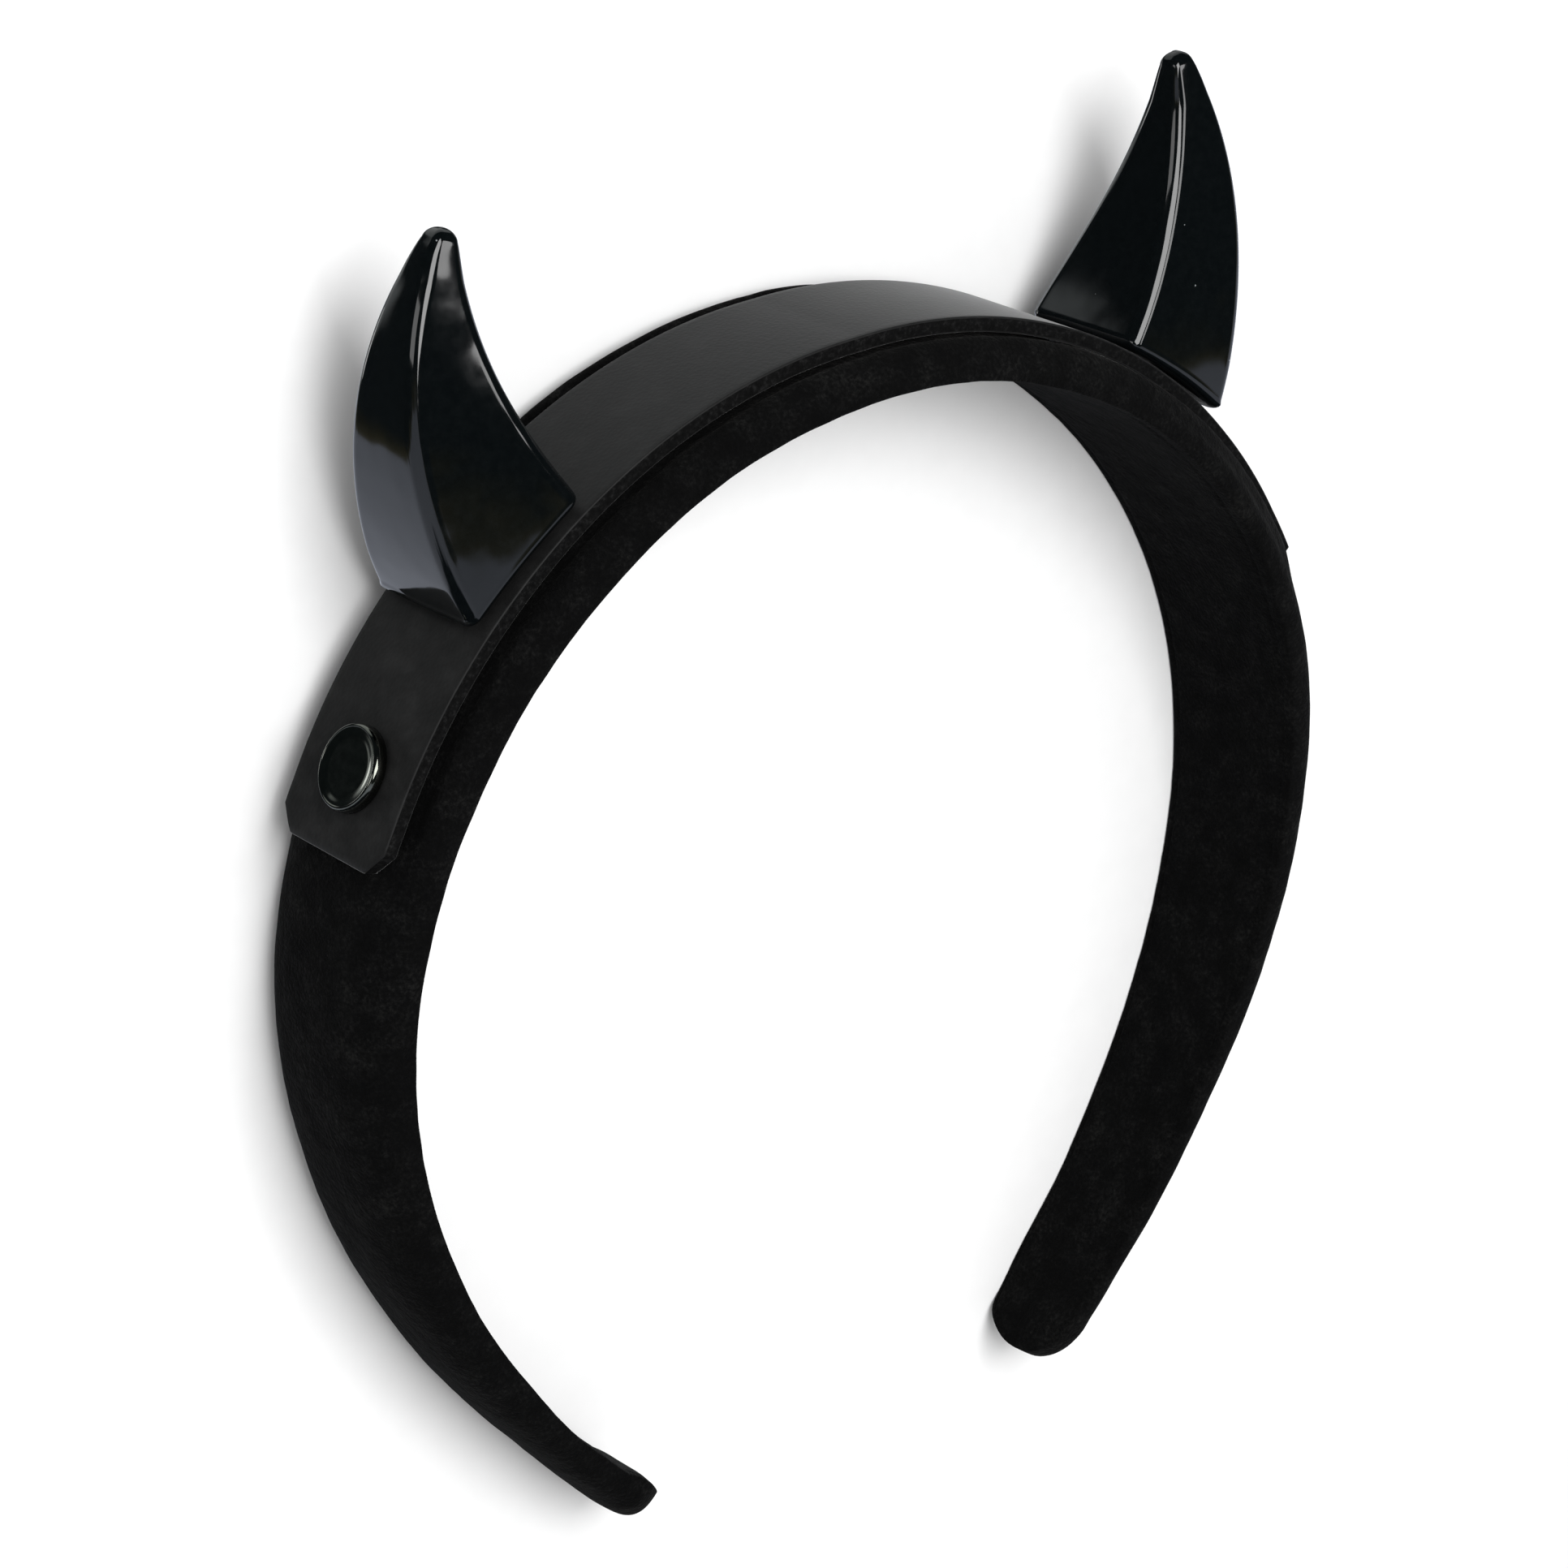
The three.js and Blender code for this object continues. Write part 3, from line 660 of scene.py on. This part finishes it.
# Studio: the camera at the photograph's angle, one broad softbox, and a white paper floor in a pale room.
# Glossy faces see a darker room instead, with a table and a wall in it, and they alone see the window,
# the card that whitens the left horn's tip and the glow in the left snap's rim.
FLOOR_SIZE = 8
SOFTBOX = {
    "towards": (-0.12, 0.38, 0.92),
    "away": 0.9,
    "shape": "RECTANGLE",
    "size": (0.6, 0.5),
    "power": 7,
}
WINDOW = {
    "towards": (-0.9, 0.36, 0.34),
    "away": 0.9,
    "shape": "RECTANGLE",
    "size": (0.25, 0.5),
    "power": 0.9,
}
CARD = {
    "towards": (0.488, 0.19, 0.852),
    "away": 0.498,
    "shape": "ELLIPSE",
    "size": (0.14, 0.14),
    "power": 0.25,
}
GLOW = {
    "towards": (-0.36, 0.12, -0.93),
    "away": 0.5,
    "shape": "ELLIPSE",
    "size": (0.11, 0.09),
    "power": 0.08,
}
ROOM_LIGHT = 0.6
REFLECTED_LIGHT = 1.5
TABLE_SLANT = 0.3
WALL_SIDE = (0.6, 0.5, -1.3)
CAMERA_EYE = Vector((-292.87, 196.063, 393.701)) * MM
CAMERA_AIM = Vector((-5.573, 6.846, 11.409)) * MM
CAMERA_ROLL = math.radians(4.46)
CAMERA_LENS = 102.71
CAMERA_SENSOR = 36

# Matt white paper: a faint tooth and nothing else.
paper = finish_of("matt white paper")
spot = add(paper, "TexCoord").outputs["Object"]
tooth = add(paper, "TexNoise", {"Vector": spot, "Scale": 1 / (4 * MM), "Detail": 2})
white = add(paper, "ValToRGB", {"Fac": tooth.outputs["Fac"]}, stops=(
    (0.2, "#f4f4f4"),
    (0.8, "#f7f7f7"),
))
surface = add(paper, "BsdfPrincipled", {"Base Color": white.outputs["Color"], "Roughness": 0.9})
add(paper, "OutputMaterial", {"Surface": surface.outputs["BSDF"]})

floor_mesh = bpy.data.meshes.new("floor")
corner = FLOOR_SIZE / 2
floor_corners = [(-corner, -corner, 0), (corner, -corner, 0), (corner, corner, 0), (-corner, corner, 0)]
floor_mesh.from_pydata(floor_corners, [], [(0, 1, 2, 3)])
floor_mesh.materials.append(paper)
floor = bpy.data.objects.new("floor", floor_mesh)
floor.visible_glossy = False
bpy.context.collection.objects.link(floor)

for name, lamp in (("softbox", SOFTBOX), ("window", WINDOW), ("card", CARD), ("glow", GLOW)):
    light = bpy.data.lights.new(name, "AREA")
    light.shape = lamp["shape"]
    light.size, light.size_y = lamp["size"]
    light.energy = lamp["power"]
    stand = bpy.data.objects.new(name, light)
    towards = Vector(lamp["towards"]).normalized()
    stand.location = towards * lamp["away"]
    stand.rotation_euler = towards.to_track_quat("Z", "Y").to_euler()
    stand.visible_camera = False
    stand.visible_diffuse = lamp is SOFTBOX
    bpy.context.collection.objects.link(stand)

room = bpy.data.worlds.new("room")
bpy.context.scene.world = room
room.use_nodes = True
room.node_tree.nodes.clear()
way = add(room, "TexCoord").outputs["Generated"]

# The table is a pale stretch towards the leg ends, with an uneven, slanted, olive edge.
ripple = add(room, "TexNoise", {"Vector": way, "Scale": 6, "Detail": 2})
uneven = add(room, "MapRange", {"Value": ripple.outputs["Fac"], "To Min": -0.08, "To Max": 0.08})
axes = add(room, "SeparateXYZ", {"Vector": way}).outputs
turned = add(room, "Math", {0: axes["X"], 1: axes["Z"]}, operation="MULTIPLY")
slanted = add(room, "Math", {
    0: turned.outputs["Value"],
    1: TABLE_SLANT,
    2: axes["Y"],
}, operation="MULTIPLY_ADD")
overhead = add(room, "MapRange", {"Value": axes["Z"], "From Min": 0.9, "To Max": 0.3})
higher = add(room, "Math", {0: slanted.outputs["Value"], 1: overhead.outputs["Result"]}, operation="ADD")
table_edge = add(room, "Math", {0: higher.outputs["Value"], 1: uneven.outputs["Result"]}, operation="ADD")
table_share = add(room, "MapRange", {
    "Value": table_edge.outputs["Value"],
    "From Min": -0.8,
    "From Max": 0.2,
})
table = add(room, "ValToRGB", {"Fac": table_share.outputs["Result"]}, stops=(
    (0.17, "#202428"),
    (0.23, "#b4b9c5"),
    (0.63, "#a0a5b0"),
    (0.65, "#57523a"),
    (0.69, "#34342a"),
    (0.73, "#23282a"),
))

# The wall is pale and low on the horns' side, with a dark bar across it.
to_wall = add(room, "VectorMath", {0: way, 1: WALL_SIDE}, operation="DOT_PRODUCT")
wall_share = add(room, "MapRange", {"Value": to_wall.outputs["Value"], "From Max": 1.5})
wall = add(room, "ValToRGB", {"Fac": wall_share.outputs["Result"]}, stops=(
    (0.52, "#000000"),
    (0.575, "#a8adae"),
    (0.75, "#b8bcbc"),
    (1.0, "#d8dada"),
))
wall_lit = add(room, "ValToRGB", {"Fac": axes["Y"]}, stops=(
    (0.0, "#000000"),
    (0.1, "#ffffff"),
    (0.2, "#ffffff"),
    (0.27, "#202020"),
    (0.45, "#202020"),
    (0.53, "#ffffff"),
))

# Glossy rays take the lighter of table and wall, and all others the plain pale room.
wall_seen = add(room, "Mix", {
    0: wall_lit.outputs["Color"],
    6: table.outputs["Color"],
    7: wall.outputs["Color"],
}, data_type="RGBA", blend_type="LIGHTEN")
reflected = add(room, "Background", {"Color": wall_seen.outputs[2], "Strength": REFLECTED_LIGHT})
lighting = add(room, "Background", {"Color": linear("#ffffff"), "Strength": ROOM_LIGHT})
path = add(room, "LightPath")
mixed = add(room, "MixShader", {
    0: path.outputs["Is Glossy Ray"],
    1: lighting.outputs[0],
    2: reflected.outputs[0],
})
add(room, "OutputWorld", {"Surface": mixed.outputs[0]})

bpy.context.scene.view_settings.view_transform = "Standard"

view = (CAMERA_AIM - CAMERA_EYE).normalized()
level_up = (Vector((0, 1, 0)) - view * view.y).normalized()
level_right = view.cross(level_up)
camera_up = level_up * math.cos(CAMERA_ROLL) + level_right * math.sin(CAMERA_ROLL)
camera_right = view.cross(camera_up)
camera = bpy.data.objects.new("camera", bpy.data.cameras.new("camera"))
camera.data.lens = CAMERA_LENS
camera.data.sensor_width = CAMERA_SENSOR
camera_axes = Matrix((camera_right, camera_up, -view)).transposed().to_4x4()
camera.matrix_world = Matrix.Translation(CAMERA_EYE) @ camera_axes
bpy.context.collection.objects.link(camera)
bpy.context.scene.camera = camera
